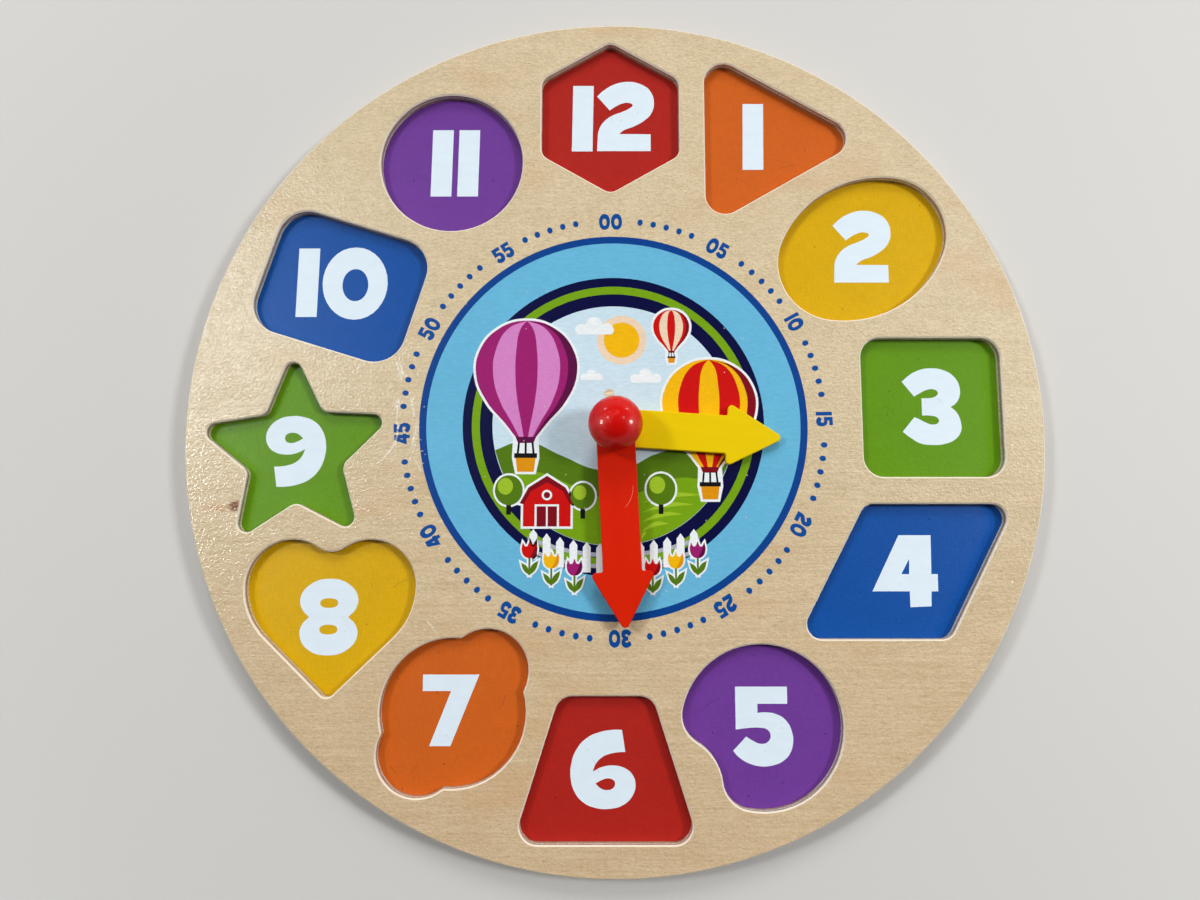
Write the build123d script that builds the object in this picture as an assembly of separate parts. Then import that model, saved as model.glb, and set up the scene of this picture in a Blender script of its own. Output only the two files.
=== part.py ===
"""Round wooden teaching clock: twelve shaped number pockets around a dial with two turning hands.

Millimetres.  The origin is at the centre of the underside.  +Z points out of the face, +Y points
to twelve o'clock and +X to three.  Clock angles are in degrees, clockwise from twelve.
"""
import os
from math import cos, radians, sin, sqrt, tan

from build123d import *

# Boards: a face board with the pocket shapes cut right through it, glued to a plain back board.
board_diameter = 300.0
back_thickness = 5.4
face_thickness = 3.6
rim_bevel = 0.5
mouth_bevel = 0.5

# Pockets: each has its clock angle, how far its middle reaches from the centre, and its own sizes.
# The whole layout is then fitted to the board, and leaves this wall of wood at the rim.
rim_wall = 7.28

hexagon_angle = -0.7
hexagon_reach = 114.4
hexagon_across_flats = 50.1
hexagon_corner = 4.5

triangle_angle = 26.2
triangle_reach = 118.6
triangle_side = 67.3
triangle_corner = 7.0

oval_angle = 53.8
oval_reach = 110.0
oval_length = 63.8
oval_width = 48.8
oval_tilt = 30.5

square_angle = 86.1
square_reach = 111.5
square_side = 49.2
square_corner = 7.0

rhombus_angle = 116.2
rhombus_reach = 111.7
rhombus_side = 52.0
rhombus_lean = 62.0
rhombus_corner = 5.0

bean_angle = 154.0
bean_reach = 112.6
bean_radius = 27.3
bean_dent_radius = 17.3
bean_waist = 19.2
bean_dent_direction = 213.0
bean_corner = 10.2

trapezoid_angle = 181.6
trapezoid_reach = 115.1
trapezoid_top = 31.4
trapezoid_bottom = 62.0
trapezoid_height = 47.9
trapezoid_corner = 6.0

cloud_angle = 209.6
cloud_reach = 111.0
cloud_radius = 24.7
cloud_lobe_radius = 14.0
cloud_lobe_offset = 17.9
cloud_lobe_direction = 50.0
cloud_notch_round = 1.5

heart_angle = 240.8
heart_reach = 111.7
heart_lobe_radius = 15.9
heart_lobe_offset = 13.4
heart_shoulder_radius = 23.7
heart_side_slope = 43.8
heart_dip_round = 7.6
heart_tip_round = 3.1

star_angle = 265.6
star_reach = 111.9
star_point_radius = 36.8
star_waist_radius = 17.2
star_point_round = 3.2
star_waist_round = 4.0
star_turn = 3.4

tablet_angle = 297.7
tablet_reach = 110.3
tablet_length = 56.0
tablet_width = 46.0
tablet_corner = 11.0
tablet_tilt = -17.3

disc_angle = 328.8
disc_reach = 113.6
disc_diameter = 51.4

# Centre axle: a countersunk screw from the back clamps a ball knob onto a plain sleeve.
sleeve_diameter = 8.0
screw_diameter = 4.0
screw_clearance = 0.1
screw_head_diameter = 8.0
screw_head_angle = 90.0
screw_bite = 9.0
screw_point = 2.5
screw_tip_diameter = 0.8
recess_width = 1.1
recess_span = 4.6
recess_depth = 1.6
running_clearance = 0.08
end_play = 0.15
dial_washer_diameter = 15.0
dial_washer_thickness = 0.8
spacer_washer_diameter = 13.0
spacer_washer_thickness = 0.5

# Ball knob: a ball with a flat foot that stands on the end of the sleeve.
ball_diameter = 18.2
ball_foot_diameter = 12.0
ball_foot_bevel = 0.5

# Hands: flat arrows that differ only in how far their points reach.
hand_thickness = 2.2
hand_width = 13.2
head_width = 22.4
head_length = 20.0
hour_point = 58.7
minute_point = 69.4
tip_round = 1.5
barb_round = 1.3
neck_round = 0.8
hand_edge_bevel = 0.25
hour_hand_angle = 93.8
minute_hand_angle = 177.2

# Heights, from the underside up.
board_radius = board_diameter / 2
face_bottom = back_thickness
face_top = face_bottom + face_thickness
dial_washer_top = face_top + dial_washer_thickness
hour_hand_bottom = dial_washer_top + end_play
spacer_washer_bottom = hour_hand_bottom + hand_thickness + end_play
minute_hand_bottom = spacer_washer_bottom + spacer_washer_thickness + end_play
ball_foot = minute_hand_bottom + hand_thickness + end_play

sleeve_bore = screw_diameter + 2 * screw_clearance
turning_bore = sleeve_diameter + 2 * running_clearance


def rounded(outline, radius):
    """The outline with every corner rounded."""
    return fillet(outline.vertices(), radius)


def hexagon():
    """Six equal sides, one corner up."""
    return rounded(RegularPolygon(hexagon_across_flats / 2, 6, major_radius=False, rotation=30),
                   hexagon_corner)


def triangle():
    """Three equal sides, one corner pointing right."""
    return rounded(RegularPolygon(triangle_side / sqrt(3), 3), triangle_corner)


def oval():
    """A tilted four-centre oval: two wide arcs that cross, their corners rounded into the ends."""
    half_length = oval_length / 2
    half_width = oval_width / 2
    diagonal = sqrt(half_length**2 + half_width**2)
    surplus = half_length - half_width
    side_radius = diagonal * (diagonal + surplus) / (2 * half_width)
    end_radius = diagonal * (diagonal - surplus) / (2 * half_length)
    side = Pos(Y=half_width - side_radius) * Circle(side_radius)
    return Rot(Z=oval_tilt) * rounded(side & Rot(Z=180) * side, end_radius)


def square():
    return RectangleRounded(square_side, square_side, square_corner)


def rhombus():
    """Four equal sides, leaning to the right."""
    half = rhombus_side / 2
    lean = half * cos(radians(rhombus_lean))
    rise = half * sin(radians(rhombus_lean))
    outline = Polygon((-half - lean, -rise), (half - lean, -rise), (half + lean, rise),
                      (-half + lean, rise), align=None)
    return rounded(outline, rhombus_corner)


def bean():
    """A disc with one side pressed in by a smaller disc, and both corners of the dent rounded."""
    dent = Pos(bean_waist + bean_dent_radius) * Circle(bean_dent_radius)
    return Rot(Z=bean_dent_direction) * rounded(Circle(bean_radius) - dent, bean_corner)


def trapezoid():
    """Narrow side up."""
    low = -trapezoid_height / 2
    high = trapezoid_height / 2
    outline = Polygon((-trapezoid_bottom / 2, low), (trapezoid_bottom / 2, low),
                      (trapezoid_top / 2, high), (-trapezoid_top / 2, high), align=None)
    return rounded(outline, trapezoid_corner)


def cloud():
    """A disc with a lobe on each side of it, and the four notches between them softened."""
    lobe = Pos(cloud_lobe_offset) * Rot(Z=180) * Circle(cloud_lobe_radius)
    outline = Circle(cloud_radius) + lobe + Rot(Z=180) * lobe
    return Rot(Z=cloud_lobe_direction) * rounded(outline, cloud_notch_round)


def heart():
    """Two lobes, fuller shoulders below them and straight sides; the origin is between the lobes."""
    slope = radians(heart_side_slope)
    shoulder_x = heart_lobe_offset + heart_lobe_radius - heart_shoulder_radius
    side_top = (shoulder_x + heart_shoulder_radius * sin(slope), -heart_shoulder_radius * cos(slope))
    tip = (0, side_top[1] - side_top[0] * tan(slope))
    dip = (0, sqrt(heart_lobe_radius**2 - heart_lobe_offset**2))
    lobe_end = (heart_lobe_offset + heart_lobe_radius, 0)
    lobe_top = (heart_lobe_offset, heart_lobe_radius)
    bend = radians(90 - heart_side_slope) / 2
    shoulder_middle = (shoulder_x + heart_shoulder_radius * cos(bend), -heart_shoulder_radius * sin(bend))
    half = [ThreePointArc(dip, lobe_top, lobe_end),
            ThreePointArc(lobe_end, shoulder_middle, side_top),
            Line(side_top, tip)]
    outline = make_face(half + [mirror(edge, about=Plane.YZ) for edge in half])
    outline = fillet(outline.vertices().sort_by_distance(tip)[0], heart_tip_round)
    return fillet(outline.vertices().sort_by_distance(dip)[0], heart_dip_round)


def star():
    """Five blunt points, leaning a little to the left."""
    corners = []
    for step in range(10):
        radius = star_waist_radius if step % 2 else star_point_radius
        corner_angle = radians(90 + 36 * step)
        corners.append((radius * cos(corner_angle), radius * sin(corner_angle)))
    outline = Polygon(*corners, align=None)
    outline = fillet(outline.vertices().sort_by_distance((0, 0))[:5], star_waist_round)
    outline = fillet(outline.vertices().sort_by_distance((0, 0))[-5:], star_point_round)
    return Rot(Z=star_turn) * outline


def tablet():
    """A soft-cornered rectangle, tilted."""
    return RectangleRounded(tablet_length, tablet_width, tablet_corner, rotation=tablet_tilt)


def disc():
    return Circle(disc_diameter / 2)


def set_out(outline, clock_angle, reach):
    """Move an outline to its clock angle and its distance from the centre."""
    return Pos(reach * sin(radians(clock_angle)), reach * cos(radians(clock_angle))) * outline


def pocket_layout():
    """The twelve pocket outlines as drawn, from twelve o'clock clockwise."""
    return [
        set_out(hexagon(), hexagon_angle, hexagon_reach),
        set_out(triangle(), triangle_angle, triangle_reach),
        set_out(oval(), oval_angle, oval_reach),
        set_out(square(), square_angle, square_reach),
        set_out(rhombus(), rhombus_angle, rhombus_reach),
        set_out(bean(), bean_angle, bean_reach),
        set_out(trapezoid(), trapezoid_angle, trapezoid_reach),
        set_out(cloud(), cloud_angle, cloud_reach),
        set_out(heart(), heart_angle, heart_reach),
        set_out(star(), star_angle, star_reach),
        set_out(tablet(), tablet_angle, tablet_reach),
        set_out(disc(), disc_angle, disc_reach),
    ]


def pocket_outlines():
    """The layout fitted to the board: the pocket that reaches furthest leaves the wall at the rim."""
    layout = pocket_layout()
    far_circle = Circle(board_diameter).edge()
    furthest = max(board_diameter - far_circle.distance_to(outline) for outline in layout)
    fit = (board_radius - rim_wall) / furthest
    return [scale(outline, fit, about=(0, 0, 0)) for outline in layout]


def tube(outer_diameter, bore, bottom, height):
    """An upright ring or tube on the centre line."""
    return Pos(Z=bottom) * extrude(Circle(outer_diameter / 2) - Circle(bore / 2), height)


def back_board():
    """The plain disc that floors the pockets, bored and countersunk for the screw."""
    board = extrude(Circle(board_radius), back_thickness)
    board = chamfer(board.edges().group_by(Axis.Z)[0], rim_bevel)
    return board - extrude(Circle(sleeve_bore / 2), back_thickness) - screw_head()


def face_board():
    """The disc with the twelve shapes cut through, and its mouths and rim bevelled."""
    blank = Pos(Z=face_bottom) * extrude(Circle(board_radius), face_thickness)
    board = chamfer(blank.edges().group_by(Axis.Z)[-1], rim_bevel)
    for outline in pocket_outlines():
        board -= Pos(Z=face_bottom) * extrude(outline, face_thickness)
        board -= Pos(Z=face_top - mouth_bevel) * extrude(outline, mouth_bevel, taper=-45)
    return board - Pos(Z=face_bottom) * extrude(Circle(sleeve_diameter / 2), face_thickness)


def pivot_sleeve():
    """The plain tube that stands on the back board; the hands turn on it."""
    return tube(sleeve_diameter, sleeve_bore, face_bottom, ball_foot - face_bottom)


def screw_taper():
    """The point of the screw, blunt at its tip."""
    return Pos(Z=screw_point / 2) * Cone(screw_diameter / 2, screw_tip_diameter / 2, screw_point)


def screw_head():
    """The countersunk cone, flush with the underside."""
    depth = (screw_head_diameter - screw_diameter) / 2 / tan(radians(screw_head_angle / 2))
    cone = Cone(screw_head_diameter / 2, screw_diameter / 2, depth)
    return Pos(Z=depth / 2) * cone


def centre_screw():
    """Countersunk head with a cross recess, plain shank and a point that ends in the ball."""
    shank_top = ball_foot + screw_bite - screw_point
    shank = extrude(Circle(screw_diameter / 2), shank_top)
    point = Pos(Z=shank_top) * screw_taper()
    slot = extrude(Rectangle(recess_span, recess_width) + Rectangle(recess_width, recess_span),
                   recess_depth, taper=6)
    return screw_head() + shank + point - slot


def dial_washer():
    """Keeps the hour hand off the print."""
    return tube(dial_washer_diameter, turning_bore, face_top, dial_washer_thickness)


def spacer_washer():
    """Keeps the two hands from dragging each other."""
    return tube(spacer_washer_diameter, turning_bore, spacer_washer_bottom, spacer_washer_thickness)


def ball_knob():
    """The ball with its flat foot and the blind hole that the screw holds in."""
    radius = ball_diameter / 2
    centre_height = sqrt(radius**2 - (ball_foot_diameter / 2)**2)
    ball = Pos(Z=centre_height) * Sphere(radius)
    below = Pos(Z=-radius) * Box(ball_diameter, ball_diameter, ball_diameter)
    ball = ball - below
    ball = chamfer(ball.edges().group_by(Axis.Z)[0], ball_foot_bevel)
    hole = extrude(Circle(screw_diameter / 2), screw_bite - screw_point)
    hole += Pos(Z=screw_bite - screw_point) * screw_taper()
    return Pos(Z=ball_foot) * (ball - hole)


def clock_hand(point_reach, bottom, clock_angle):
    """A flat arrow with a round tail about the axle."""
    neck = point_reach - head_length
    half_width = hand_width / 2
    half_head = head_width / 2
    arrow = Polygon((-half_width, 0), (half_width, 0), (half_width, neck), (half_head, neck),
                    (0, point_reach), (-half_head, neck), (-half_width, neck), align=None)
    arrow = fillet(arrow.vertices().sort_by(Axis.Y)[-1], tip_round)
    barbs = arrow.vertices().filter_by(lambda corner: abs(corner.X) > half_head - barb_round)
    arrow = fillet(barbs, barb_round)
    necks = arrow.vertices().sort_by_distance((0, neck))[:2]
    arrow = fillet(necks, neck_round)
    blade = extrude(arrow + Circle(half_width), hand_thickness)
    blade = chamfer(blade.edges().group_by(Axis.Z)[-1], hand_edge_bevel)
    blade -= extrude(Circle(turning_bore / 2), hand_thickness)
    return Pos(Z=bottom) * Rot(Z=-clock_angle) * blade


def main():
    nodes = {
        "back_board": back_board(),
        "face_board": face_board(),
        "pivot_sleeve": pivot_sleeve(),
        "centre_screw": centre_screw(),
        "dial_washer": dial_washer(),
        "hour_hand": clock_hand(hour_point, hour_hand_bottom, hour_hand_angle),
        "spacer_washer": spacer_washer(),
        "minute_hand": clock_hand(minute_point, minute_hand_bottom, minute_hand_angle),
        "ball_knob": ball_knob(),
    }
    os.makedirs("parts", exist_ok=True)
    for name, solid in nodes.items():
        export_step(solid, f"parts/{name}.step")


main()
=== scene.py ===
from math import atan2, cos, degrees, hypot, radians, sin

import bpy
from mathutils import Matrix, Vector


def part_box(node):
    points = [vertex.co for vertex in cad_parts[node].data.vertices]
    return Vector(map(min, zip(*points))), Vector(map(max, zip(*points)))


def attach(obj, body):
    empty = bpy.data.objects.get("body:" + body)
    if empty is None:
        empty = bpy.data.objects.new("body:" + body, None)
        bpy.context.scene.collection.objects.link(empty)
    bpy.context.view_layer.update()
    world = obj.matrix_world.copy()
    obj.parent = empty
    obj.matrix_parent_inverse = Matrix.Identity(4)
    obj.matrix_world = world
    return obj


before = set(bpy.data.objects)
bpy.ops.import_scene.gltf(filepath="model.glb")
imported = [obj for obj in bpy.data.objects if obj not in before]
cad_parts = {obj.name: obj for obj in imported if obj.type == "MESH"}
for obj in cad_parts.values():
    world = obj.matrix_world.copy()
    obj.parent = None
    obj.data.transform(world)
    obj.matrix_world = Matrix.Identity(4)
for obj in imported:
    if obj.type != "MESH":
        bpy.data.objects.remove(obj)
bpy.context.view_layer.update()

MM = 0.001

# Heights and sizes of the solids that the print lies on, each board's plies, and its edge's bevel.
floor_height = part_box("back_board")[1].z / MM
face_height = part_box("face_board")[1].z / MM
board_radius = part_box("face_board")[1].x / MM
washer_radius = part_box("dial_washer")[1].x / MM
face_plies = 3
back_plies = 5
bevel = 0.5

# Print: every layer of ink stands this much higher than the one below it, and overlapping shapes of
# one layer differ by the lap.
ink_layer = 0.012
ink_lap = 0.001
centre_hole = washer_radius + 0.1
pocket_paint_depth = 0.03
numeral_depth = 0.06
# An outline that is grown keeps its corners sharp, down to this cosine of half the turn.
sharpest_corner = 0.45

# Dial: its middle, its ring, and the minute marks around it.
dial_middle = (-0.51, 1.38)
ring_outer = 67.8
ring_inner = 65.3
ring_overlap = 0.3
dot_reach = 73.69
dot_pitch = 3.716
dots_in_group = 5
dot_length = 2.3
dot_width = 1.95
dot_groups = [
    15.01, 45.82, 74.32, 103.07, 133.64, 163.02, 193.77, 223.0, 252.26, 282.39, 312.41, 342.13,
]
label_scale = (0.168, 0.222)
label_gap = 0.35
label_places = {
    "00": (359.30, 73.36), "05": (30.40, 73.59), "10": (60.41, 73.75), "15": (88.55, 73.62),
    "20": (118.53, 73.42), "25": (148.73, 73.25), "30": (178.28, 73.41), "35": (208.74, 73.64),
    "40": (238.16, 73.83), "45": (267.41, 73.65), "50": (297.76, 73.31), "55": (327.62, 73.18),
}

# Hours: where each numeral stands on its pocket floor, and which paint the floor has, in turn.
hours = 12
numeral_places = {
    12: (0, 116), 1: (51, 109), 2: (90, 67), 3: (112, 8), 4: (101, -50), 5: (50, -102),
    6: (-4, -116), 7: (-56, -96), 8: (-99, -65), 9: (-112, -7), 10: (-98, 53), 11: (-58, 98),
}
paint_order = ["red", "orange", "yellow", "green", "blue", "purple"]

# Picture in the middle of the dial: its border, the line in it, and its sky and hills.
border_radius = 52.6
line_outer = 49.4
line_inner = 46.6
sky_radius = 42.2
far_hill_radius = 42.0
near_hill_radius = 42.05

# Hands: the clock angles at which they rest.
hour_hand_angle = 93.8
minute_hand_angle = 177.2


# ---------------------------------------------------------------- shader nodes

def sum_of(operation, swapped=False):
    """The method that adds one Math node for a Python operator."""
    def method(self, other):
        first, second = (other, self) if swapped else (self, other)
        return self.graph.node("ShaderNodeMath", {"operation": operation}, {0: first, 1: second})
    return method


class Value:
    """What comes out of a node.  Sums on a value add Math nodes to its graph."""

    def __init__(self, graph, socket):
        self.graph = graph
        self.socket = socket

    __add__ = sum_of("ADD")
    __radd__ = sum_of("ADD", swapped=True)
    __sub__ = sum_of("SUBTRACT")
    __rsub__ = sum_of("SUBTRACT", swapped=True)
    __mul__ = sum_of("MULTIPLY")
    __rmul__ = sum_of("MULTIPLY", swapped=True)
    __truediv__ = sum_of("DIVIDE")
    __mod__ = sum_of("MODULO")


class Graph:
    """The nodes of one material or world."""

    def __init__(self, tree):
        self.tree = tree
        tree.nodes.clear()

    def node(self, kind, settings, inputs, output=0):
        """Adds a node: its settings first, then the number, colour or value of each socket."""
        made = self.tree.nodes.new(kind)
        for setting, choice in settings.items():
            setattr(made, setting, choice)
        for key, value in inputs.items():
            if isinstance(value, Value):
                self.tree.links.new(value.socket, made.inputs[key])
            else:
                made.inputs[key].default_value = value
        return Value(self, made.outputs[output]) if made.outputs else None

    def vector(self, operation, first, second=(0.0, 0.0, 0.0), output="Vector"):
        """One Vector Math node."""
        inputs = {0: first, 1: second}
        return self.node("ShaderNodeVectorMath", {"operation": operation}, inputs, output)

    def along(self, place, axis):
        """The place's number along X, Y or Z."""
        return self.node("ShaderNodeSeparateXYZ", {}, {0: place}, axis)

    def noise(self, place, size, stretch=(1, 1, 1), detail=2.0, seed=0.0):
        """Soft noise from 0 to 1, with lumps of about that size, drawn out along each axis."""
        squeezed = self.vector("MULTIPLY", place, [1 / (size * share) for share in stretch])
        lumps = {"Vector": squeezed, "W": seed, "Scale": 1.0, "Detail": detail}
        return self.node("ShaderNodeTexNoise", {"noise_dimensions": "4D"}, lumps)

    def step(self, value, low, high):
        """0 where the value is at low and 1 where it is at high, smooth in between."""
        span = {"Value": value, "From Min": low, "From Max": high}
        return self.node("ShaderNodeMapRange", {"interpolation_type": "SMOOTHSTEP"}, span)

    def mix(self, mask, first, second):
        """The first colour where the mask is 0, and the second where it is 1."""
        return self.node("ShaderNodeMix", {"data_type": "RGBA"}, {0: mask, 6: first, 7: second}, 2)

    def seen(self):
        """1 for what the camera sees, straight, in a reflection or through glass, and 0 for light."""
        rays = self.node("ShaderNodeLightPath", {}, {}, "Is Camera Ray")
        rays = rays + self.node("ShaderNodeLightPath", {}, {}, "Is Glossy Ray")
        return rays + self.node("ShaderNodeLightPath", {}, {}, "Is Transmission Ray")


class Finish(Graph):
    """One surface: a Principled shader, and patterns that read the place in millimetres."""

    def __init__(self, name, constants):
        self.material = bpy.data.materials.new(name)
        self.material.use_nodes = True
        super().__init__(self.material.node_tree)
        surface = self.node("ShaderNodeBsdfPrincipled", {}, constants)
        self.shader = surface.socket.node
        self.node("ShaderNodeOutputMaterial", {}, {"Surface": surface})

    def feed(self, socket, value):
        """Joins a value or a colour to a socket of the shader."""
        self.tree.links.new(value.socket, self.shader.inputs[socket])

    def place(self, turn=0.0):
        """The place on the piece in millimetres, turned clockwise by an angle about the hand axle."""
        spot = self.node("ShaderNodeTexCoord", {}, {}, "Object")
        mapping = {"Vector": spot, "Rotation": (0.0, 0.0, -radians(turn)), "Scale": [1 / MM] * 3}
        return self.node("ShaderNodeMapping", {}, mapping)

    def reach(self, place, middle, radii, turn=0.0):
        """How far a place is from a middle in plan, as a share of an ellipse's two radii."""
        offset = self.vector("SUBTRACT", place, (*middle, 0.0))
        mapping = {"Vector": offset, "Rotation": (0.0, 0.0, -radians(turn))}
        turned = self.node("ShaderNodeMapping", {}, mapping)
        share = self.vector("MULTIPLY", turned, (1 / radii[0], 1 / radii[1], 0.0))
        return self.vector("LENGTH", share, output="Value")

    def specks(self, place, spacing, radius, share, seed=0.0):
        """Scattered round specks: a cell of that spacing holds one if the share falls on it."""
        moved = self.vector("ADD", place, (seed, seed * 0.7, 0.0))
        cells = {"Vector": moved, "Scale": 1 / spacing}
        distance = self.node("ShaderNodeTexVoronoi", {"voronoi_dimensions": "2D"}, cells, "Distance")
        chance = self.node("ShaderNodeTexVoronoi", {"voronoi_dimensions": "2D"}, cells, "Color")
        size = radius / spacing
        dots = self.step(distance, size, size * 0.6)
        return dots * self.step(self.along(chance, "X"), 1 - share, 1.01 - share)

    def scratch(self, place, start, end, bow, width):
        """A fine line from one place to another, bowed to its left by that much."""
        chord = Vector(end) - Vector(start)
        half = chord.length / 2
        radius = (half ** 2 + bow ** 2) / (2 * bow)
        middle = (Vector(start) + Vector(end)) / 2
        hub = middle + Vector((chord.y, -chord.x)).normalized() * (radius - bow)
        share = self.reach(place, hub, (radius, radius))
        line = self.step(share, 1 - width / radius, 1.0) * self.step(share, 1 + width / radius, 1.0)
        return line * self.step(self.reach(place, middle, (half, half)), 1.0, 0.8)

    def bump(self, height, depth):
        """Raises the surface by the height times a depth in millimetres."""
        relief = {"Height": height, "Distance": depth * MM}
        self.feed("Normal", self.node("ShaderNodeBump", {}, relief))


def srgb(red, green, blue):
    """A colour given as eight-bit screen values, as the linear values that shaders take."""
    shares = [level / 255 for level in (red, green, blue)]
    linear = [
        share / 12.92 if share <= 0.04045 else ((share + 0.055) / 1.055) ** 2.4 for share in shares
    ]
    return (*linear, 1.0)


def shade(colour, amount):
    """The same colour, darker or lighter by that factor."""
    return (*[min(channel * amount, 1.0) for channel in colour[:3]], 1.0)


# ---------------------------------------------------------------- finishes

# How strongly ink and floor paint mirror, and how dull they are.
ink_gloss = 0.2
ink_roughness = 0.36


def grain(finish, place):
    """The relief of sanded, lacquered wood: fine fibres, and the orange peel of the lacquer."""
    fibres = finish.noise(place, 0.34, (7, 1, 1), detail=2, seed=4)
    peel = finish.noise(place, 0.85, detail=1, seed=9)
    return fibres * 0.2 + peel * 0.8


def worn(finish, place, lines):
    """Fine broken scratches, each given by its two ends, its bow and its width."""
    marks = finish.scratch(place, *lines[0])
    for line in lines[1:]:
        both = {0: marks, 1: finish.scratch(place, *line)}
        marks = finish.node("ShaderNodeMath", {"operation": "MAXIMUM"}, both)
    return marks * finish.step(finish.noise(place, 0.55, detail=2, seed=15), 0.3, 0.52)


# Scratches: two ends, a bow and a width for each.
face_scratches = [
    ((-77.4, 24.5), (-75.9, 20.6), 0.2, 0.34), ((-76.6, 24.2), (-74.2, 18.6), 0.3, 0.3),
    ((-74.8, 20.6), (-73.4, 17.9), 0.1, 0.26), ((-75.9, 20.3), (-74.7, 16.7), 0.1, 0.28),
    ((-71.4, 10.6), (-70.7, 7.5), 0.1, 0.55), ((-70.7, 7.8), (-70.0, 4.0), 0.1, 0.42),
    ((-76.1, 7.2), (-76.2, 1.6), 0.1, 0.3), ((-76.2, 2.2), (-75.8, -1.8), 0.1, 0.4),
    ((-75.8, -0.6), (-77.5, -7.0), 0.45, 0.5), ((-76.9, -5.6), (-80.7, -10.5), 0.4, 0.46),
    ((-80.4, -10.2), (-82.2, -12.3), 0.1, 0.22), ((-69.5, -10.9), (-67.3, -15.4), 0.2, 0.24),
    ((-89.5, 23.6), (-91.0, 20.6), 0.25, 0.34), ((119.2, 25.5), (121.8, 23.2), 0.2, 0.36),
    ((-64.4, -66.0), (-61.0, -70.0), 0.3, 0.3),
]
floor_scratches = [
    ((-76.9, -55.3), (-71.8, -52.2), 0.25, 0.2), ((-126.3, -2.6), (-125.0, -8.0), 0.4, 0.17),
    ((-84.6, -53.4), (-84.0, -55.6), 0.2, 0.2), ((95.0, 8.0), (99.0, 6.2), 0.3, 0.17),
    ((30.0, -96.0), (36.0, -92.5), 0.6, 0.17), ((-70.0, 112.0), (-66.0, 116.0), 0.5, 0.17),
    ((60.0, 96.0), (66.0, 97.5), 0.3, 0.17), ((118.0, -60.0), (112.0, -57.0), 0.5, 0.17),
    ((-37.4, -91.0), (-39.2, -96.0), 0.3, 0.17), ((-77.0, -114.6), (-74.0, -117.6), 0.4, 0.17),
    ((-67.0, -114.0), (-69.2, -117.0), 0.3, 0.17), ((-61.0, -76.9), (-60.0, -77.6), 0.1, 0.4),
    ((-74.9, -85.1), (-73.8, -86.3), 0.1, 0.4), ((47.1, -78.0), (48.1, -78.1), 0.1, 0.42),
    ((55.8, -120.3), (57.0, -120.0), 0.1, 0.42), ((81.4, 44.0), (82.1, 43.1), 0.1, 0.4),
]
numeral_scratches = [
    ((-96.2, 49.2), (-89.6, 46.0), 0.9, 0.16), ((-95.0, 50.4), (-90.4, 47.6), 0.6, 0.12),
    ((-0.6, 119.0), (-0.9, 114.5), 0.1, 0.12), ((-15.2, 117.0), (-15.0, 113.0), 0.1, 0.1),
    ((113.0, 12.0), (116.5, 9.0), 0.3, 0.12), ((-8.0, -112.0), (-5.5, -117.0), 0.3, 0.12),
]
ring_nicks = [
    ((-67.9, -8.1), (-66.6, -8.0), 0.05, 0.24), ((-67.6, -12.4), (-66.2, -12.3), 0.05, 0.26),
    ((-66.3, -9.4), (-65.8, -9.1), 0.05, 0.2), ((-68.0, -4.0), (-67.4, -4.1), 0.05, 0.2),
]
minute_hand_scratch = ((6.0, -20.0), (3.2, -28.0), 0.9, 0.16)

# Rubs: a middle, two radii and a strength for each, and how far they are all turned.
face_rubs = [
    ((-76.1, 8.6), (1.2, 2.8), 1.3), ((-69.6, -2.6), (1.2, 8.4), 0.75),
    ((-75.4, 20.2), (1.6, 5.6), 0.5), ((-75.7, 0.4), (0.8, 2.4), 0.7),
]
rub_turn = -10.0

# The knot in the face board by the nine, the warm grain round it, and the chip above the ball.
board_knot = {"middle": (-131.6, -27.0), "radii": (2.9, 2.7), "turn": 20.0}
knot_halo = {"middle": (-136.5, -27.8), "radii": (8.0, 2.0)}
sky_chip = {"middle": (-1.9, 12.2), "radii": (1.7, 1.5)}


def handled(finish, place):
    """The pale scratches and rubs that years of play have left beside the forty-five minute mark."""
    flakes = finish.step(finish.noise(place, 0.45, (1, 1.8, 1), detail=2, seed=16), 0.4, 0.62)
    marks = worn(finish, place, face_scratches)
    for middle, radii, strength in face_rubs:
        rub = finish.step(finish.reach(place, middle, radii, rub_turn), 1.0, 0.4)
        marks = marks + flakes * rub * strength
    return marks


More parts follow.
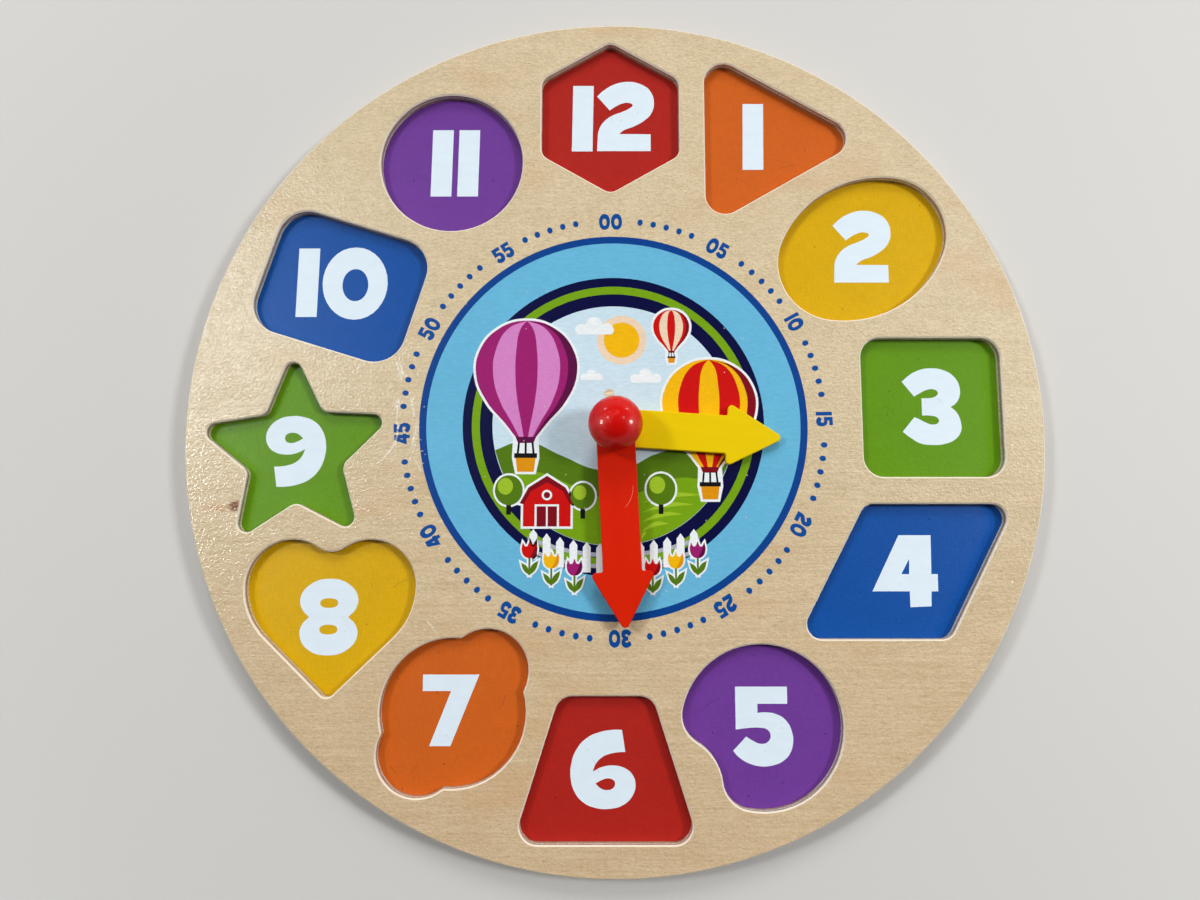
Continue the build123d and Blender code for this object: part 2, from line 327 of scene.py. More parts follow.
def plywood(name, bottom, top, ply):
    """Clear-lacquered plywood: fine grain along X on its faces, and its plies on every cut edge; the
    cut edges carry painted light and shade, and the bevel a painted highlight.
    """
    wood = Finish(name, {"Specular IOR Level": 0.5})
    place = wood.place()
    height = wood.along(place, "Z")

    mottle = wood.step(wood.noise(place, 8.0, (1.6, 1, 1), detail=3, seed=1), 0.3, 0.7)
    bands = wood.step(wood.noise(place, 0.75, (9, 1, 1), detail=2, seed=2), 0.3, 0.7)
    fibres = wood.step(wood.noise(place, 0.42, (4, 1, 1), detail=2, seed=3), 0.34, 0.66)
    grit = wood.step(wood.noise(place, 0.4, (1.6, 1, 1), detail=1, seed=14), 0.34, 0.66)
    dashes = wood.step(wood.noise(place, 0.36, (7, 1, 1), detail=1, seed=5), 0.6, 0.72)
    flecks = wood.step(wood.noise(place, 0.36, (2.5, 1, 1), detail=1, seed=6), 0.6, 0.72)
    streaks = wood.step(wood.noise(place, 0.9, (45, 1, 1), detail=3, seed=18), 0.36, 0.66)
    plain = wood.step(wood.along(place, "Y") + wood.noise(place, 50.0, seed=19) * 120, -20.0, 110.0)
    lines = streaks * (1 - plain * 0.75)
    tone = mottle * 0.14 + bands * 0.14 + fibres * 0.32 + grit * 0.2 + lines * 0.26
    face = wood.mix(tone, srgb(236, 217, 182), srgb(194, 172, 133))
    face = wood.mix(dashes * 0.5, face, srgb(160, 132, 96))
    face = wood.mix(flecks * 0.45, face, srgb(248, 236, 208))
    drift = wood.step(wood.along(place, "Y") + wood.noise(place, 60.0, seed=13) * 90, 60.0, -110.0)
    face = wood.mix(drift * 0.26, face, srgb(204, 154, 112))
    warmth = wood.step(wood.noise(place, 16.0, (2.5, 1, 1), detail=2, seed=17), 0.52, 0.75)
    face = wood.mix(warmth * 0.3, face, srgb(212, 164, 116))

    ragged = wood.noise(place, 1.2, (2, 1, 1), detail=3, seed=12)
    on_face = wood.step(height, floor_height + 0.5, floor_height + 1.0)
    core = wood.step(wood.reach(place, **board_knot) + ragged * 0.8, 1.4, 0.8)
    halo = wood.step(wood.reach(place, **knot_halo) + ragged * 0.8, 1.5, 0.6)
    face = wood.mix(halo * on_face * 0.45, face, srgb(196, 140, 96))
    face = wood.mix(core * on_face * 0.9, face, srgb(126, 74, 46))
    marks = handled(wood, place) * on_face
    face = wood.mix(marks * 0.8, face, srgb(248, 244, 232))

    layer = (height - bottom) / ply
    crossed = wood.step(layer % 2, 0.95, 1.05)
    share = wood.node("ShaderNodeMath", {"operation": "FRACT"}, {0: layer + 0.5})
    glue = wood.step(share, 0.43, 0.49) * wood.step(share, 0.57, 0.51)
    # Cut walls: pale end grain where the grain runs out of them, mostly on walls facing along X, and
    # darker long grain elsewhere. The pores and strands are real grain; how pale and how dark they are
    # is painted light and shade from the low lamps at the sides.
    facing = wood.along(wood.node("ShaderNodeTexCoord", {}, {}, "Normal"), "X")
    across = wood.step(facing * facing, 0.25, 0.6)
    open_ends_and_lit_walls = across + crossed - across * crossed * 2
    pores = wood.step(wood.noise(place, 0.4, (1, 1, 2), detail=2, seed=7), 0.35, 0.65)
    strands = wood.step(wood.noise(place, 0.3, (9, 9, 1), detail=2, seed=8), 0.3, 0.7)
    end_grain_and_painted_light = wood.mix(pores, srgb(190, 180, 160), srgb(236, 229, 214))
    long_grain_and_painted_shade = wood.mix(strands, srgb(146, 114, 90), srgb(192, 162, 134))
    edge = wood.mix(open_ends_and_lit_walls, long_grain_and_painted_shade, end_grain_and_painted_light)
    edge = wood.mix(glue * 0.4, edge, srgb(104, 80, 60))
    # The bevel is painted near white: partly the paler sanded wood, partly a painted highlight along
    # the edge.
    sanded_bevel_and_highlight = wood.step(height, top - bevel - 0.06, top - bevel)
    edge = wood.mix(sanded_bevel_and_highlight * 0.9, edge, srgb(246, 234, 212))
    cut = wood.step(height, top - 0.01, top - 0.03) * wood.step(height, bottom + 0.01, bottom + 0.03)

    wood.feed("Base Color", wood.mix(cut, face, edge))
    wood.feed("Roughness", 0.16 + fibres * 0.05 + cut * 0.4)
    wood.bump(grain(wood, place) + marks * 0.2, 0.25)
    return wood.material


def ink(name, colour, chipped=False, rubbed=False, nicks=None):
    """Screen-printed ink: it takes the grain of the wood, and is chipped to tiny pale specks."""
    coat = Finish(name, {"Specular IOR Level": ink_gloss})
    place = coat.place()
    weave = coat.step(coat.noise(place, 0.42, (5, 1, 1), detail=2, seed=21), 0.3, 0.7)
    cloud = coat.noise(place, 14.0, (2, 1, 1), detail=2, seed=22)
    tint = coat.mix(weave * 0.5 + cloud * 0.5, shade(colour, 0.9), shade(colour, 1.1))
    wood = coat.mix(weave, srgb(196, 178, 144), srgb(236, 222, 192))
    bare = coat.specks(place, 7.0, 0.26, 0.12, seed=31)
    tint = coat.mix(bare * 0.7, tint, srgb(222, 214, 196))
    if chipped:
        ragged = coat.noise(place, 0.7, detail=3, seed=24)
        chip = coat.step(coat.reach(place, **sky_chip) + ragged * 1.4, 1.85, 1.65)
        tint = coat.mix(chip, tint, wood)
    if rubbed:
        tint = coat.mix(worn(coat, place, face_scratches) * 0.9, tint, wood)
    if nicks:
        tint = coat.mix(worn(coat, place, nicks), tint, wood)
    coat.feed("Base Color", tint)
    coat.feed("Roughness", ink_roughness + cloud * 0.1)
    coat.bump(grain(coat, place), 0.07)
    return coat.material


def numeral_ink(name, colour):
    """The thick white ink of the numerals: smooth, with a few dark specks and hair scratches."""
    coat = Finish(name, {"Specular IOR Level": ink_gloss})
    place = coat.place()
    cloud = coat.noise(place, 3.0, (2, 1, 1), detail=3, seed=23)
    specks = coat.specks(place, 6.0, 0.2, 0.14, seed=33)
    tint = coat.mix(cloud, shade(colour, 0.95), shade(colour, 1.04))
    tint = coat.mix(specks * 0.5, tint, srgb(120, 116, 120))
    tint = coat.mix(worn(coat, place, numeral_scratches) * 0.5, tint, srgb(130, 132, 140))
    coat.feed("Base Color", tint)
    coat.feed("Roughness", ink_roughness + cloud * 0.1)
    coat.bump(grain(coat, place), 0.03)
    return coat.material


def pocket_paint(name, colour):
    """The printed floor of a pocket: a fine canvas-like grain, with a few dents and dark scratches."""
    paint = Finish(name, {"Specular IOR Level": ink_gloss})
    place = paint.place()
    warp = paint.step(paint.noise(place, 0.42, (9, 1, 1), detail=2, seed=41), 0.3, 0.7)
    weft = paint.step(paint.noise(place, 0.42, (1, 9, 1), detail=2, seed=42), 0.3, 0.7)
    cloud = paint.step(paint.noise(place, 7.0, (1.5, 1, 1), detail=3, seed=43), 0.3, 0.7)
    coat = paint.mix(warp * 0.35 + weft * 0.45 + cloud * 0.2, shade(colour, 0.91), shade(colour, 1.09))
    dust = paint.specks(place, 5.0, 0.24, 0.16, seed=51)
    dents = paint.specks(place, 13.0, 0.38, 0.3, seed=57)
    dents = dents * paint.step(paint.noise(place, 0.4, detail=1, seed=58), 0.3, 0.5)
    scratches = worn(paint, place, floor_scratches)
    coat = paint.mix(dust * 0.35, coat, shade(colour, 2.0))
    coat = paint.mix(dents * 0.75, coat, shade(colour, 0.25))
    coat = paint.mix(scratches * 0.7, coat, shade(colour, 0.4))
    paint.feed("Base Color", coat)
    paint.feed("Roughness", ink_roughness + warp * 0.08)
    paint.bump(grain(paint, place) - scratches * 0.5, 0.07)
    return paint.material


def satin_plastic(name, colour, clock_angle, line=None):
    """Moulded plastic: a fine matt texture, faint flow marks along the hand, and light scuffs."""
    plastic = Finish(name, {"Specular IOR Level": 0.12})
    place = plastic.place(-clock_angle)
    flow = plastic.noise(place, 5.0, (1, 5, 1), detail=2, seed=61)
    scuffs = plastic.step(plastic.noise(place, 0.22, (14, 1, 1), detail=1, seed=62), 0.72, 0.8)
    coat = plastic.mix(flow, shade(colour, 0.94), shade(colour, 1.06))
    coat = plastic.mix(scuffs * 0.06, coat, srgb(255, 240, 225))
    if line:
        coat = plastic.mix(plastic.scratch(plastic.place(), *line) * 0.5, coat, srgb(255, 170, 150))
    plastic.feed("Base Color", coat)
    plastic.feed("Roughness", 0.36 + flow * 0.1 + scuffs * 0.15)
    plastic.bump(plastic.noise(place, 0.25, detail=2, seed=63), 0.012)
    return plastic.material


def gloss_paint(name, colour):
    """Dipped gloss paint on a turned ball: smooth and deep, with fingermarks and a few fine rubs; the
    fingermarks are painted paler and pinker, as painted haze of reflected light.
    """
    gloss = Finish(name, {"Specular IOR Level": 0.15, "Coat Roughness": 0.04})
    place = gloss.place()
    smudge_and_haze = gloss.step(gloss.noise(place, 4.0, (1.6, 1, 1), detail=4, seed=71), 0.42, 0.66)
    rubs = gloss.step(gloss.noise(place, 0.5, (3, 1, 1), detail=3, seed=72), 0.5, 0.72)
    # Paler, pinker patches where the fingermarks and rubs lie: real marks, with painted haze of
    # reflected light in their colour.
    coat = gloss.mix(smudge_and_haze * 0.4 + rubs * 0.2, shade(colour, 0.95), shade(colour, 1.2))
    coat = gloss.mix(smudge_and_haze * rubs * 0.16, coat, srgb(255, 170, 150))
    gloss.feed("Base Color", coat)
    gloss.feed("Roughness", 0.34 + smudge_and_haze * 0.1)
    gloss.feed("Coat Weight", 0.3 - smudge_and_haze * 0.08)
    gloss.bump(gloss.noise(place, 2.5, detail=2, seed=73), 0.006)
    return gloss.material


def nylon(name, colour):
    """Natural nylon: slightly cloudy, with the fine rings of the tool that turned it."""
    plastic = Finish(name, {"Specular IOR Level": 0.4})
    place = plastic.place()
    cloud = plastic.noise(place, 1.5, detail=2, seed=81)
    rings = plastic.noise(place, 0.2, (1, 1, 0.3), detail=1, seed=82)
    plastic.feed("Base Color", plastic.mix(cloud, shade(colour, 0.9), colour))
    plastic.feed("Roughness", 0.4 + cloud * 0.12)
    plastic.bump(rings, 0.01)
    return plastic.material


def zinc(name):
    """Zinc plate on steel: bright grey, with turned rings on the head and duller patches."""
    plate = Finish(name, {"Metallic": 1.0})
    place = plate.place()
    radius = plate.node("ShaderNodeCombineXYZ", {}, {0: plate.reach(place, (0, 0), (1, 1))})
    rings = plate.noise(radius, 0.12, seed=91)
    patches = plate.noise(place, 1.2, detail=3, seed=92)
    plate.feed("Base Color", plate.mix(patches, srgb(158, 158, 156), srgb(196, 196, 192)))
    plate.feed("Roughness", 0.26 + patches * 0.2)
    plate.bump(rings, 0.01)
    return plate.material


colours = {
    "red": srgb(176, 36, 28),
    "orange": srgb(208, 98, 28),
    "yellow": srgb(218, 171, 0),
    "green": srgb(98, 148, 6),
    "blue": srgb(14, 80, 162),
    "purple": srgb(112, 60, 152),
}
numeral_white = srgb(227, 241, 251)

face_ply = (face_height - floor_height) / face_plies
back_ply = floor_height / back_plies

finishes = {
    "face_board": plywood("face_board_plywood", floor_height, face_height, face_ply),
    "back_board": plywood("back_board_plywood", 0.0, floor_height, back_ply),
    "pivot_sleeve": nylon("sleeve_nylon", srgb(226, 222, 210)),
    "centre_screw": zinc("screw_zinc"),
    "dial_washer": nylon("washer_nylon", srgb(232, 230, 222)),
    "spacer_washer": nylon("spacer_nylon", srgb(232, 230, 222)),
    "hour_hand": satin_plastic("yellow_plastic", srgb(237, 203, 0), hour_hand_angle),
    "minute_hand": satin_plastic(
        "red_plastic", srgb(218, 32, 0), minute_hand_angle, minute_hand_scratch,
    ),
    "ball_knob": gloss_paint("red_gloss_paint", srgb(212, 9, 2)),
}
for node, finish in finishes.items():
    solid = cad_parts[node]
    solid.data.materials.clear()
    solid.data.materials.append(finish)


# ---------------------------------------------------------------- flat outlines

# The handles of a corner's point; a point on a smooth bend has automatic ones.
corner = "VECTOR"
smooth = "AUTO"


def ellipse(middle, radii):
    """Four smooth points round an ellipse."""
    (x, y), (across, up) = middle, radii
    return [(x + across, y), (x, y + up), (x - across, y), (x, y - up)]


def disc(radius, middle=(0, 0)):
    """Four smooth points round a circle."""
    return ellipse(middle, (radius, radius))


def sharp(*points):
    """An outline that turns sharply at every point."""
    return [(x, y, corner) for x, y in points]


def band(ends, height, far_ends, far_height):
    """A four-sided outline between two heights, from its left and right ends at each."""
    (left, right), (far_left, far_right) = ends, far_ends
    return sharp((left, height), (right, height), (far_right, far_height), (far_left, far_height))


def box_outline(left, bottom, right, top):
    """A rectangle."""
    return band((left, right), bottom, (left, right), top)


def polar(middle, clock_angle, reach):
    """The point at a clock angle and a reach from a middle."""
    angle = radians(clock_angle)
    return (middle[0] + reach * sin(angle), middle[1] + reach * cos(angle))


def placed(outlines, move=(0, 0), scale=(1, 1), turn=0.0):
    """Outlines scaled, then turned clockwise by an angle, then moved."""
    angle = radians(turn)

    def put(point):
        x, y = point[0] * scale[0], point[1] * scale[1]
        spun = (x * cos(angle) + y * sin(angle), y * cos(angle) - x * sin(angle))
        return (spun[0] + move[0], spun[1] + move[1], *point[2:])

    return [[put(point) for point in outline] for outline in outlines]


def traced(outline, steps):
    """The outline drawn as a smooth closed curve, as the points of its fine straight steps."""
    curve = bpy.data.curves.new("outline", "CURVE")
    curve.dimensions = "2D"
    curve.fill_mode = "NONE"
    curve.resolution_u = steps
    spline = curve.splines.new("BEZIER")
    spline.bezier_points.add(len(outline) - 1)
    spline.use_cyclic_u = True
    for knot, point in zip(spline.bezier_points, outline):
        knot.co = (point[0] * MM, point[1] * MM, 0.0)
    for knot, point in zip(spline.bezier_points, outline):
        bend = point[2] if len(point) > 2 else smooth
        knot.handle_left_type = bend
        knot.handle_right_type = bend
    holder = bpy.data.objects.new("outline", curve)
    mesh = bpy.data.meshes.new_from_object(holder)
    points = [Vector(vertex.co) for vertex in mesh.vertices]
    bpy.data.objects.remove(holder)
    bpy.data.curves.remove(curve)
    bpy.data.meshes.remove(mesh)
    return points


def grown(points, width):
    """A closed line with every side moved outwards by that width."""
    ahead = points[1:] + points[:1]
    turning = sum(here.x * there.y - there.x * here.y for here, there in zip(points, ahead))
    side = 1 if turning > 0 else -1
    moved = []
    for before, here, after in zip(points[-1:] + points[:-1], points, ahead):
        arriving = (here - before).normalized()
        leaving = (after - here).normalized()
        along = (arriving + leaving).normalized()
        outwards = Vector((along.y, -along.x, 0.0)) * side
        square = Vector((leaving.y, -leaving.x, 0.0)) * side
        moved.append(here + outwards * width * MM / max(outwards.dot(square), sharpest_corner))
    return moved


def alone(thing):
    """Makes one object the only selected and the active one."""
    bpy.ops.object.select_all(action="DESELECT")
    thing.select_set(True)
    bpy.context.view_layer.objects.active = thing


def thickened(thing, height):
    """Fills the closed lines of an object, with the inner ones left open, and raises them to a slab."""
    alone(thing)
    bpy.ops.object.mode_set(mode="EDIT")
    bpy.ops.mesh.select_all(action="SELECT")
    bpy.ops.mesh.fill(use_beauty=True)
    bpy.ops.mesh.select_all(action="SELECT")
    bpy.ops.mesh.extrude_region_move(TRANSFORM_OT_translate={"value": (0.0, 0.0, height * MM)})
    bpy.ops.mesh.select_all(action="SELECT")
    bpy.ops.mesh.normals_make_consistent(inside=False)
    bpy.ops.object.mode_set(mode="OBJECT")


def finished(thing, name, finish):
    """Names a piece, gives it its finish and lets it ride with the clock."""
    thing.name = name
    thing.data.name = name
    thing.data.materials.clear()
    thing.data.materials.append(finish)
    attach(thing, "clock")


def slab(name, shapes, finish, bottom, height, grow=0.0, steps=8, lap=0.0):
    """A thin piece of shapes, each higher than the last by the lap, so that they may cross."""
    made = []
    for number, outlines in enumerate(shapes):
        points = []
        edges = []
        for outline in outlines:
            line = traced(outline, steps)
            line = grown(line, grow) if grow else line
            first = len(points)
            points += [point + Vector((0.0, 0.0, bottom * MM)) for point in line]
            edges += [(first + i, first + (i + 1) % len(line)) for i in range(len(line))]
        mesh = bpy.data.meshes.new(name)
        mesh.from_pydata(points, edges, [])
        thing = bpy.data.objects.new(name, mesh)
        bpy.context.scene.collection.objects.link(thing)
        thickened(thing, height + number * lap)
        made.append(thing)
    alone(made[0])
    for thing in made:
        thing.select_set(True)
    if len(made) > 1:
        bpy.ops.object.join()
    finished(made[0], name, finish)


# ---------------------------------------------------------------- figures

def bar(width):
    """The figure one: a plain bar that leans a little to the right."""
    lean, half, rise = 0.22, width / 2, 12.7
    return band((-half - lean, half - lean), -rise, (-half + lean, half + lean), rise)


six = [
    (6.3, 13.2, corner), (3.5, 13.2), (-1.0, 12.5), (-5.5, 10.6), (-9.0, 7.0), (-10.9, 2.0),
    (-11.1, -2.5), (-9.7, -7.2), (-6.8, -10.5), (-2.5, -12.3), (1.5, -12.6), (6.5, -11.4),
    (9.8, -8.3), (10.8, -4.8), (9.8, -1.5), (7.3, 0.6), (3.5, 1.5), (-0.5, 1.0),
    (-3.6, -0.5, corner), (-2.6, 2.0), (-0.5, 4.2), (2.5, 5.4), (5.0, 5.8), (7.4, 5.9, corner),
]
six_eye = [
    (-2.7, -4.4, corner), (-0.5, -3.2), (1.5, -2.7), (3.4, -3.3), (3.9, -4.6), (3.2, -5.9),
    (1.2, -6.5), (-1.0, -5.9),
]
figures = {
    "0": [ellipse((0, 0), (11.75, 13.4)), ellipse((0.1, -0.65), (4.65, 5.95))],
    "1": [bar(7.6)],
    "2": [[
        (-10.8, -13.6, corner), (8.9, -13.6, corner), (8.9, -7.1, corner), (-2.7, -7.0, corner),
        (-1.0, -5.6), (2.5, -4.2), (6.5, -1.9), (9.2, 1.0), (10.2, 5.3), (8.9, 9.6), (5.5, 12.3),
        (0.5, 13.3), (-4.8, 12.1), (-8.5, 9.8), (-10.8, 7.6, corner), (-6.1, 2.1, corner),
        (-4.5, 3.3), (-1.5, 4.8), (0.6, 5.1), (2.3, 4.2), (1.2, 3.0), (-1.5, 1.6), (-5.0, 0.2),
        (-8.3, -2.3), (-10.2, -5.7), (-10.6, -9.5),
    ]],
    "3": [[
        (-10.0, 9.1, corner), (-7.5, 11.3), (-4.0, 13.2), (0.0, 14.0), (5.0, 13.3), (8.8, 10.8),
        (10.5, 7.0), (10.2, 3.5), (8.5, 1.0), (7.0, 0.1, corner), (9.0, -1.8), (10.4, -5.5),
        (10.2, -8.8), (8.0, -11.6), (4.5, -13.1), (0.0, -13.5), (-4.0, -13.0), (-7.5, -11.0),
        (-10.3, -8.8, corner), (-6.0, -3.6, corner), (-4.5, -4.2), (-2.0, -5.5), (0.8, -6.2),
        (2.6, -5.2), (2.2, -3.8), (0.0, -3.1), (-3.2, -3.0, corner), (-3.2, 3.2, corner),
        (-1.0, 3.2), (1.5, 3.7), (2.7, 5.0), (1.5, 6.3), (-1.0, 6.2), (-3.5, 5.1),
        (-5.8, 3.8, corner),
    ]],
    "4": [
        sharp((-2.3, 12.9), (8.9, 12.9), (8.6, -0.5), (10.8, -0.5), (10.7, -6.4), (8.4, -6.4),
              (8.2, -11.5), (0.9, -11.8), (0.9, -6.4), (-12.0, -6.4)),
        sharp((-1.8, -0.5), (0.9, -0.5), (1.1, 4.8)),
    ],
    "5": [[
        (-9.1, 13.5, corner), (8.6, 13.5, corner), (8.6, 7.8, corner), (-1.6, 7.8, corner),
        (-1.6, 4.8, corner), (1.0, 5.0), (5.0, 4.3), (8.2, 2.1), (10.0, -1.5), (10.3, -4.5),
        (9.3, -8.3), (6.8, -11.0), (3.0, -12.5), (-0.5, -12.8), (-5.0, -11.7), (-8.5, -9.5),
        (-10.1, -7.7, corner), (-5.6, -3.0, corner), (-3.5, -4.3), (-0.5, -5.4), (1.8, -4.7),
        (2.7, -2.7), (1.6, -0.7), (-1.0, -0.1), (-5.0, -0.2), (-9.1, -0.7, corner),
    ]],
    "6": [six, six_eye],
    "7": [
        sharp((-9.7, 11.5), (9.6, 11.5), (0.1, -12.2), (-7.1, -12.2), (0.0, 6.0), (-9.7, 6.0)),
    ],
    "8": [
        [(0.4, 12.9), (7.3, 10.8), (10.3, 6.3), (9.5, 2.5), (7.0, -0.2, corner), (9.6, -2.8),
         (10.3, -6.6), (7.3, -11.0), (0.4, -13.1), (-6.5, -11.2), (-9.5, -6.6), (-8.9, -2.8),
         (-6.5, -0.2, corner), (-9.0, 2.5), (-9.7, 6.3), (-6.6, 10.8)],
        ellipse((0.3, 4.6), (3.1, 1.65)),
        ellipse((0.3, -4.4), (3.1, 1.65)),
    ],
    "9": placed([six, six_eye], move=(-0.6, -0.4), scale=(0.97, 0.97), turn=180.0),
}
numeral_figures = {
    12: [("1", (-11.5, -0.3)), ("2", (4.55, 0.7))],
    10: [("1", (-12.5, 0.5)), ("0", (4.55, 0.2))],
    11: [("1", (-5.0, 0.5)), ("1", (4.7, 0.5))],
    1: [("1", (0.05, -0.4))],
}


def hour_of(x, y):
    """The hour whose direction from the centre is nearest to a place."""
    return round(degrees(atan2(x, y)) * hours / 360) % hours or hours


def numerals(white):
    """The hour figures, printed on the pocket floors."""
    for hour, place in numeral_places.items():
        parts = numeral_figures.get(hour, [(str(hour), (0, 0))])
        shapes = [
            placed(figures[figure], move=(place[0] + x, place[1] + y)) for figure, (x, y) in parts
        ]
        slab(f"numeral_{hour}", shapes, white, floor_height, numeral_depth)


def minute_labels(blue):
    """The minute figures round the dial, five apart, with their tops outwards."""
    for text, (clock_angle, reach) in label_places.items():
        widths = []
        for figure in text:
            spread = [point[0] for point in figures[figure][0]]
            width = (max(spread) - min(spread)) * label_scale[0]
            widths.append(((max(spread) + min(spread)) / 2, width))
        start = -(sum(width for _, width in widths) + label_gap) / 2
        shapes = []
        for figure, (middle, width) in zip(text, widths):
            centred = placed(figures[figure], move=(-middle, 0.0))
            small = placed(centred, scale=label_scale, move=(start + width / 2, 0.0))
            place = polar(dial_middle, clock_angle, reach)
            shapes.append(placed(small, turn=clock_angle, move=place))
            start += width + label_gap
        slab(f"minute_label_{text}", shapes, blue, face_height, ink_layer)


def minute_dots(blue):
    """The dots between the minute labels."""
    shapes = []
    for middle in dot_groups:
        for step in range(dots_in_group):
            clock_angle = middle + (step - (dots_in_group - 1) / 2) * dot_pitch
            dot = [ellipse((0, 0), (dot_width / 2, dot_length / 2))]
            place = polar(dial_middle, clock_angle, dot_reach)
            shapes.append(placed(dot, turn=clock_angle, move=place))
    slab("minute_dots", shapes, blue, face_height, ink_layer, steps=5)


def pocket_floors():
    """A thin painted floor for each pocket, to the outline that the face board has at its underside."""
    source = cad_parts["face_board"]
    sheet = bpy.data.objects.new("pocket_floors", source.data.copy())
    bpy.context.scene.collection.objects.link(sheet)
    alone(sheet)
    bpy.ops.object.mode_set(mode="EDIT")
    bpy.ops.mesh.select_all(action="SELECT")
    weld = 0.001 * MM
    bpy.ops.mesh.remove_doubles(threshold=weld)
    bpy.ops.mesh.select_all(action="DESELECT")
    bpy.ops.object.mode_set(mode="OBJECT")
    above = (floor_height + 0.01) * MM
    for vertex in sheet.data.vertices:
        vertex.select = vertex.co.z > above
    bpy.ops.object.mode_set(mode="EDIT")
    bpy.ops.mesh.select_mode(type="VERT")
    bpy.ops.mesh.delete(type="VERT")
    bpy.ops.mesh.select_all(action="SELECT")
    bpy.ops.mesh.select_mode(type="EDGE")
    bpy.ops.mesh.region_to_loop()
    bpy.ops.mesh.select_all(action="INVERT")
    bpy.ops.mesh.delete(type="EDGE")
    bpy.ops.mesh.select_mode(type="VERT")
    bpy.ops.mesh.select_all(action="SELECT")
    bpy.ops.mesh.separate(type="LOOSE")
    bpy.ops.object.mode_set(mode="OBJECT")
    for thing in list(bpy.context.selected_objects):
        places = [vertex.co / MM for vertex in thing.data.vertices]
        x = (max(p.x for p in places) + min(p.x for p in places)) / 2
        y = (max(p.y for p in places) + min(p.y for p in places)) / 2
        if hypot(x, y) < board_radius / 2:
            bpy.data.objects.remove(thing)
            continue
        hour = hour_of(x, y)
        thickened(thing, pocket_paint_depth)
        paint = paints[paint_order[hour % len(paint_order)]]
        finished(thing, f"pocket_floor_{hour}", paint)


# ---------------------------------------------------------------- the picture on the dial

class Picture:
    """Flat printed shapes on the dial, each in its own layer, about the dial's middle."""

    def __init__(self, inks):
        self.inks = inks

    def add(self, name, shapes, colour, layer, grow=0.0, steps=8):
        """Prints shapes in one colour; the layer says which shapes lie over which."""
        moved = [placed(outlines, move=dial_middle) for outlines in shapes]
        depth = layer * ink_layer
        slab(name, moved, self.inks[colour], face_height, depth, grow, steps, ink_lap)


def arc(radius, start, end, count):
    """Smooth points along a circle about the dial's middle, between two clock angles."""
    return [polar((0, 0), start + (end - start) * i / (count - 1), radius) for i in range(count)]


def hole():
    """The clear round place that the washer under the hands covers."""
    return disc(centre_hole, (-dial_middle[0], -dial_middle[1]))


# A balloon's cloth from its crown down: half width and height, as shares of its radius.
balloon_profile = [
    (0.0, 1.0), (0.55, 0.84), (0.92, 0.4), (0.98, -0.1), (0.76, -0.62), (0.42, -1.02), (0.2, -1.3),
]


def gore(left, right):
    """The stretch of a balloon's cloth between two shares of its width."""
    down = [(right * width, height) for width, height in balloon_profile]
    up = [(left * width, height) for width, height in reversed(balloon_profile)]
    down[-1] = (*down[-1], corner)
    up[0] = (*up[0], corner)
    if (left, right) != (-1, 1):
        down[0] = (*down[0], corner)
    return [[*down, *up[:-1]]]


def balloon(picture, name, middle, radius, cloth, light, dark, layer):
    """A hot-air balloon with a white edge: cloth in gores, a skirt, ropes and a basket."""
    def at(shapes):
        return [placed(outlines, move=middle, scale=(radius, radius)) for outlines in shapes]

    skirt = [band((-0.2, 0.2), -1.3, (-0.15, 0.15), -1.42)]
    basket = [band((-0.2, 0.2), -1.66, (-0.16, 0.16), -1.98)]
    rim = [band((-0.22, 0.22), -1.62, (-0.22, 0.22), -1.71)]
    ropes = [[band((x - 0.02, x + 0.02), -1.4, (x * 1.2 - 0.02, x * 1.2 + 0.02), -1.66)]
             for x in (-0.13, 0.0, 0.13)]
    body = [sharp((-0.2, -1.3), (0.2, -1.3), (0.22, -1.71), (0.16, -1.98), (-0.16, -1.98),
                  (-0.22, -1.71))]
    picture.add(f"{name}_edge", at([gore(-1, 1), body]), "white", layer, grow=0.85)
    picture.add(f"{name}_cloth", at([gore(-1, 1)]), cloth, layer + 1)
    light_gores = [gore(-0.66, -0.22), gore(0.22, 0.66)]
    picture.add(f"{name}_light_gores", at(light_gores), light, layer + 2)
    picture.add(f"{name}_shade", at([gore(0.82, 1.0), skirt]), dark, layer + 2)
    picture.add(f"{name}_basket", at([basket]), "orange", layer + 1)
    picture.add(f"{name}_rigging", at([*ropes, rim]), "black", layer + 2)


def cloud(middle, size):
    """A cloud with a flat foot and three lobes."""
    lobes = [(-1.0, -0.35, corner), (-1.12, 0.0), (-0.8, 0.26), (-0.52, 0.2, corner),
             (-0.35, 0.56), (0.0, 0.66), (0.32, 0.5), (0.45, 0.24, corner),
             (0.75, 0.3), (1.02, 0.1), (1.08, -0.18), (0.95, -0.35, corner)]
    return placed([lobes], move=middle, scale=(size, size))


